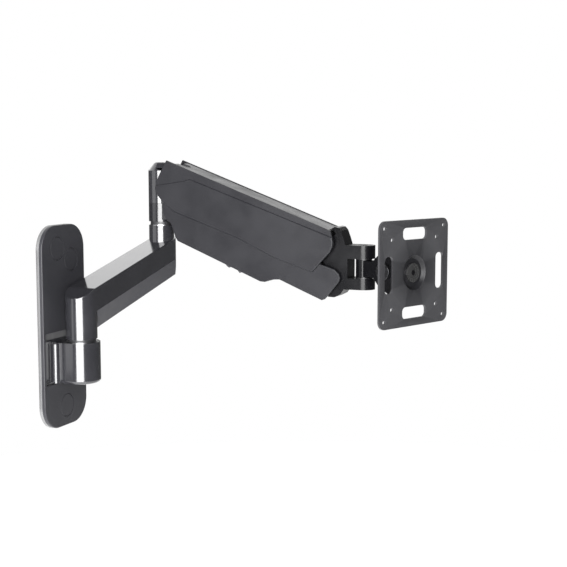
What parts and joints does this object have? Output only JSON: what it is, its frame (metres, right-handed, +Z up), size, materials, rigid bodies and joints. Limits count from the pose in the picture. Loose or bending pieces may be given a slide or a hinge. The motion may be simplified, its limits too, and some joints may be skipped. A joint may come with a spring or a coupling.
{
  "type": "monitor arm",
  "caption": "Wall-mounted gas-spring monitor arm: wall plate with a swivelling first arm, a parallelogram spring arm, and a tilting, turning screen plate.",
  "frame": {"origin": "centre of the wall plate's back face", "axes": "+X out of the wall, +Z up, +Y along the wall towards the elbow in the stored pose"},
  "size_m": [0.3783, 0.2486, 0.2876],
  "materials": {
    "cast_black": "satin",
    "plate_grey": "satin",
    "cover_plastic": "satin",
    "trim_plastic": "satin",
    "gloss_cast": "gloss",
    "steel": "satin",
    "dark_steel": "satin",
    "bush_plastic": "satin",
    "chrome": "polished"
  },
  "bodies": {
    "wall_base": {"wall_plate": "plate_grey", "wall_cover": "cover_plastic", "screw_caps": "cover_plastic", "hinge_block": "cast_black", "block_screws": "dark_steel", "wall_hinge_pin": "steel", "hinge_washer": "steel"},
    "lower_arm": {"arm_casting": "cast_black", "knuckle_bush": "bush_plastic", "knuckle_set_screw": "dark_steel", "arm_cable_cover": "trim_plastic", "cable_cover_screws": "dark_steel", "elbow_pin": "steel", "elbow_washer": "steel"},
    "column_head": {"column": "cast_black", "column_cap": "trim_plastic", "elbow_bush": "bush_plastic", "column_set_screw": "dark_steel", "rear_upper_pin": "steel", "rear_lower_pin": "steel", "anchor_nut": "steel"},
    "adjuster": {"tension_screw": "dark_steel"},
    "upper_beam": {"upper_channel": "cast_black", "upper_cover_left": "cover_plastic", "upper_cover_right": "cover_plastic", "beam_rear_bushes": "bush_plastic", "beam_front_bushes": "bush_plastic", "gas_rod_pin": "steel"},
    "lower_link": {"lower_channel": "cast_black", "link_bushes": "bush_plastic", "lower_cover": "cover_plastic", "cable_clip": "trim_plastic"},
    "spring_cylinder": {"gas_cylinder": "cast_black", "cylinder_gland": "dark_steel"},
    "spring_rod": {"gas_rod": "chrome", "rod_eye": "steel"},
    "front_end": {"front_bracket": "gloss_cast", "front_upper_pin": "steel", "front_lower_pin": "steel", "swivel_pin": "steel", "swivel_washers": "bush_plastic"},
    "head": {"head_knuckle": "cast_black", "swivel_bush": "bush_plastic"},
    "tilter": {"tilt_bracket": "gloss_cast", "tilt_bolt": "dark_steel", "tilt_nut": "dark_steel", "tilt_washers": "bush_plastic", "plate_pivot_bolt": "dark_steel", "plate_pivot_nut": "dark_steel", "plate_washer": "bush_plastic"},
    "screen_plate": {"vesa_plate": "cast_black"}
  },
  "joints": [
    {"name": "wall_swivel", "type": "hinge", "parent": "wall_base", "child": "lower_arm", "pos_m": [0.0287, 0, -0.036], "axis": [0, 0, 1], "range_deg": [-180, 0]},
    {"name": "elbow_swivel", "type": "hinge", "parent": "lower_arm", "child": "column_head", "pos_m": [0.0287, 0.1824, 0.115], "axis": [0, 0, 1], "range_deg": [0, 180]},
    {"name": "tension_turn", "type": "hinge", "parent": "column_head", "child": "adjuster", "pos_m": [0.05635, 0.1824, 0.14], "axis": [0, 0, 1], "range_deg": [-1080, 1080]},
    {"name": "lift", "type": "hinge", "parent": "column_head", "child": "upper_beam", "pos_m": [0.04635, 0.1824, 0.15872], "axis": [0, -1, 0], "range_deg": [-18, 48]},
    {"name": "lower_link_turn", "type": "hinge", "parent": "column_head", "child": "lower_link", "pos_m": [0.05635, 0.1824, 0.11772], "axis": [0, -1, 0], "range_deg": [-18, 48]},
    {"name": "cylinder_turn", "type": "hinge", "parent": "column_head", "child": "spring_cylinder", "pos_m": [0.05635, 0.1824, 0.13802], "axis": [0, -1, 0], "range_deg": [-19.5, 51.5]},
    {"name": "rod_slide", "type": "slide", "parent": "spring_cylinder", "child": "spring_rod", "axis": [0.9635, 0, -0.2676], "range_m": [-0.0065, 0.0168]},
    {"name": "front_level", "type": "hinge", "parent": "upper_beam", "child": "front_end", "pos_m": [0.241, 0.1824, 0.084], "axis": [0, -1, 0], "range_deg": [-48, 18]},
    {"name": "head_swivel", "type": "hinge", "parent": "front_end", "child": "head", "pos_m": [0.288, 0.1824, 0.057], "axis": [0, 0, 1], "range_deg": [-67, 113]},
    {"name": "head_tilt", "type": "hinge", "parent": "head", "child": "tilter", "pos_m": [0.32712, 0.16579, 0.057], "axis": [0.3907, 0.9205, 0], "range_deg": [-45, 45]},
    {"name": "plate_rotate", "type": "hinge", "parent": "tilter", "child": "screen_plate", "pos_m": [0.35106, 0.15563, 0.057], "axis": [0.9205, -0.3907, 0], "range_deg": [-180, 180]}
  ],
  "couplings": [
    {"joint": "lower_link_turn", "follows": "lift", "ratio": 1},
    {"joint": "front_level", "follows": "lift", "ratio": -1},
    {"joint": "cylinder_turn", "follows": "lift", "ratio": 1.0612},
    {"joint": "rod_slide", "follows": "lift", "m_per_rad": 0.01931}
  ]
}
